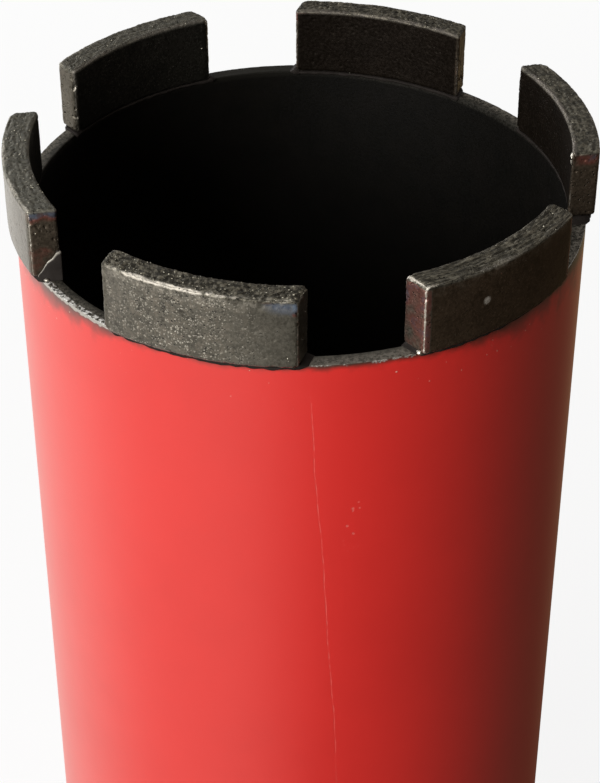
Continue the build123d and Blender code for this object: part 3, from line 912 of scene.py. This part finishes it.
def makeBeadTree():
    inputs = {"Finish": "Material", **plateBeadPlan}
    tree, given, result = newGroup("weldBead", "GeometryNodeTree", inputs, {"Geometry": "Geometry"})
    path = fed(put(tree, "GeometryNodeCurvePrimitiveCircle"), Resolution=960, Radius=given["Ring Radius"])
    section = fed(put(tree, "GeometryNodeCurvePrimitiveCircle"), Resolution=28, Radius=1.0)
    bead = fed(put(tree, "GeometryNodeCurveToMesh"), Curve=path.outputs["Curve"],
               Profile_Curve=section.outputs["Curve"])
    here = source(tree, "GeometryNodeInputPosition", "Position")
    x, y, z = splitXyz(here)
    turn = do("ARCTAN2", y, x)
    side = do("SQRT", x * x + y * y) - given["Ring Radius"]
    sway = (cloud(here, 0.35, 3.0) - 0.5) * 2.6
    phase = turn * given["Ripples"] + (z * z * 2.2 + sway)
    ripple = do("POWER", do("SINE", phase) * 0.5 + 0.5, 0.6)
    sink = (1.0 - ripple) * given["Ripple Depth"]
    radius = given["Ring Radius"] + side * (given["Half Depth"] - sink)
    level = given["Height"] + z * (given["Half Width"] - sink)
    place = joinXyz(radius * do("COSINE", turn), radius * do("SINE", turn), level)
    coat(tree, bead.outputs["Mesh"], scaled(place, mm), given["Finish"], result)
    return tree


beadTree = makeBeadTree()
for name, plan, node in (("plateBead", plateBeadPlan, "plate_weld"), ("hubBead", hubBeadPlan, "hub_weld")):
    piece = growPiece(name, beadTree, dict(plan, Finish=plainPaint))
    finish(piece, "red_paint", node)
print("welds made")


# hub: turned body with two spanner flats and a pipe thread in its bore

hubPlan = {    # millimetres
    "radius": 18.0, "chamfer": 1.0, "plate": 30.0, "spigot": 13.0, "top": 41.0, "water": 7.5,
    "waterFoot": 26.816, "flats": 32.0, "flatTop": 18.0, "minor": 9.3158, "major": 10.4775, "mouth": 10.7775,
    "pitch": 25.4 / 14, "depth": 25.0, "runout": 2.0, "stations": 192, "perPitch": 14,
}


def makeHub():
    plan = hubPlan
    half = plan["flats"] / 2
    corner = math.asin(half / plan["radius"])
    corners = [corner, math.pi - corner, math.pi + corner, math.tau - corner]
    spaced = np.linspace(0, math.tau, plan["stations"], endpoint=False)
    turns = sorted([t for t in spaced if min(abs(t - c) for c in corners) > 0.01] + corners)
    cut, radius, flatTop = plan["chamfer"], plan["radius"], plan["flatTop"]
    profile = [(radius - cut + rise, rise, True) for rise in np.linspace(0, cut, 6)]
    profile += [(radius, z, True) for z in np.linspace(cut + 1, flatTop, 12)]
    profile += [(radius, z, False) for z in np.linspace(flatTop, plan["plate"], 9)]
    profile += [(plan["spigot"], plan["plate"], False), (plan["spigot"], plan["top"], False)]
    profile += [(plan["water"], plan["top"], False), (plan["water"], plan["waterFoot"], False)]
    points = []
    for r, z, cutFlat in profile:
        for turn in turns:
            c, s = math.cos(turn), math.sin(turn)
            reach = min(r, half / max(abs(s), 1e-6)) if cutFlat else r
            points.append((reach * c * mm, reach * s * mm, z * mm))
    levels = np.linspace(plan["depth"], 0, round(plan["depth"] / plan["pitch"] * plan["perPitch"]))
    for z in levels:
        fade = min(1.0, max(0.0, (plan["depth"] - z) / plan["runout"] - 0.1))
        for turn in turns:
            phase = (z / plan["pitch"] - turn / math.tau) % 1.0
            ridge = min(1.0, max(0.0, 2.3 * (1 - abs(2 * phase - 1)) - 0.65))
            reach = plan["minor"] + (plan["major"] - plan["minor"]) * ridge * fade
            reach = max(reach, plan["mouth"] - z)
            points.append((reach * math.cos(turn) * mm, reach * math.sin(turn) * mm, z * mm))
    faces = wrapFaces(len(profile) + len(levels), len(turns))
    piece = meshPiece("hubBody", points, faces, [hubSteel])
    piece.data.set_sharp_from_angle(angle=math.radians(32))
    finish(piece, "hub_steel", "hub")


makeHub()
print("hub made")

for slot in nodes["back_plate"].material_slots:
    slot.material = platePaint


# floor, light and camera

floorLightAndShade = (    # painted light and shade on the floor, seen in the bit's reflections, round the bit from behind, by the left, the front and the right; the camera sees it plain
    (0.0, (0.97, 0.94, 0.88)), (0.24, (0.82, 0.78, 0.73)), (0.33, (0.42, 0.40, 0.37)),
    (0.44, (0.42, 0.40, 0.36)), (0.52, (0.05, 0.045, 0.035)), (0.84, (0.06, 0.04, 0.02)),
    (0.895, (0.16, 0.12, 0.06)), (0.935, (0.55, 0.40, 0.20)), (1.0, (0.95, 0.90, 0.83)),
)
roomTones = (    # from the left to the right
    (0.0, (0.95, 0.96, 0.97)), (0.35, (0.55, 0.55, 0.55)), (0.62, (0.14, 0.12, 0.10)),
    (1.0, (0.11, 0.08, 0.055)),
)
stagePlan = {    # lengths in metres, but the drop in millimetres
    "floorHalf": 4.0, "floorDrop": 0.05, "floorSeen": (0.9, 0.9, 0.9, 1), "reflected": 0.85, "roomPower": 0.8,
    "nearFloor": 0.2, "farFloor": 0.8,
}


def blendShaders(tree, factor, first, second):
    node = put(tree, "ShaderNodeMixShader")
    for socket, value in zip(node.inputs, (factor, first.outputs[0], second.outputs[0])):
        feed(socket, value)
    return node


def makeFloor():
    plan = stagePlan
    half, level = plan["floorHalf"], -plan["floorDrop"] * mm
    mesh = bpy.data.meshes.new("floor")
    corners = [(-half, -half, level), (half, -half, level), (half, half, level), (-half, half, level)]
    mesh.from_pydata(corners, [], [(0, 1, 2, 3)])
    material, tree, shader = newFinish("paleFloor", Roughness=0.9, Specular_IOR_Level=0.1)
    where = source(tree, "ShaderNodeTexCoord", "Object")
    wayRound = do("ARCTAN2", outward(where, cameraTurn + 90), outward(where, cameraTurn))
    litAndShadedTone = rampOf(wayRound / math.tau + 0.5, floorLightAndShade)
    rays = outputsOf(put(tree, "ShaderNodeLightPath"))
    camera = rays["Is Camera Ray"]
    fed(shader, Base_Color=mixed(camera, litAndShadedTone, plan["floorSeen"]))
    glow = fed(put(tree, "ShaderNodeEmission"), Color=mixed(camera, litAndShadedTone, (1, 1, 1, 1)))
    white = remap(vectorCalc("LENGTH", where), plan["nearFloor"], plan["farFloor"], plan["reflected"], 1.0)
    shining = do("MAXIMUM", rays["Is Glossy Ray"] * plan["reflected"], camera * white)
    lit = blendShaders(tree, shining, shader, glow)
    behind = source(tree, "ShaderNodeNewGeometry", "Backfacing")
    clear = blendShaders(tree, behind, lit, put(tree, "ShaderNodeBsdfTransparent"))
    fed(tree.nodes["Material Output"], Surface=clear.outputs[0])
    mesh.materials.append(material)
    placed("floor", mesh)


def makeWorld():
    world = bpy.data.worlds.new("softRoom")
    bpy.context.scene.world = world
    world.use_nodes = True
    tree = world.node_tree
    side = outward(source(tree, "ShaderNodeTexCoord", "Generated"), cameraTurn + 90)
    light = fed(tree.nodes["Background"], Color=rampOf(side * 0.5 + 0.5, roomTones),
                Strength=stagePlan["roomPower"])
    backdrop = fed(put(tree, "ShaderNodeBackground"), Color=(1, 1, 1, 1))
    camera = source(tree, "ShaderNodeLightPath", "Is Camera Ray")
    fed(tree.nodes["World Output"], Surface=blendShaders(tree, camera, light, backdrop).outputs[0])


lamps = {    # azimuth from the camera, distance, height, size, power, colour
    "key": (-36, 0.75, 0.48, 0.46, 6.9, (1.0, 0.99, 0.97)),
    "fill": (-140, 0.95, 0.36, 0.60, 3.6, (1.0, 1.0, 1.0)),
    "sideFill": (125, 1.0, 0.34, 0.50, 1.5, (1.0, 0.96, 0.92)),
}


def makeLamps():
    middle = Vector((0, 0, 0.13))
    for name, (azimuth, distance, height, size, power, colour) in lamps.items():
        data = bpy.data.lights.new(name, "AREA")
        data.shape = "DISK"
        data.size = size
        data.energy = power
        data.color = colour
        lamp = placed(name, data)
        turn = math.radians(cameraTurn + azimuth)
        lamp.location = (distance * math.cos(turn), distance * math.sin(turn), height)
        lamp.rotation_euler = (middle - lamp.location).to_track_quat("-Z", "Y").to_euler()


cameraPlan = {    # millimetres
    "place": (-47.431, -239.62, 335.68), "aim": (-0.098, 0.019, 154.89), "lens": 100.78, "sensor": 36.0,
}


def makeCamera():
    data = bpy.data.cameras.new("camera")
    data.sensor_width = cameraPlan["sensor"]
    data.lens = cameraPlan["lens"]
    data.clip_start = 0.01
    data.clip_end = 20.0
    camera = placed("camera", data)
    place = Vector(cameraPlan["place"]) * mm
    turned = (Vector(cameraPlan["aim"]) * mm - place).to_track_quat("-Z", "Y").to_matrix().to_4x4()
    turned.translation = place
    camera.matrix_world = turned
    bpy.context.scene.camera = camera


makeFloor()
makeWorld()
makeLamps()
makeCamera()
bpy.context.scene.view_settings.view_transform = "Standard"
print("floor, light and camera set")
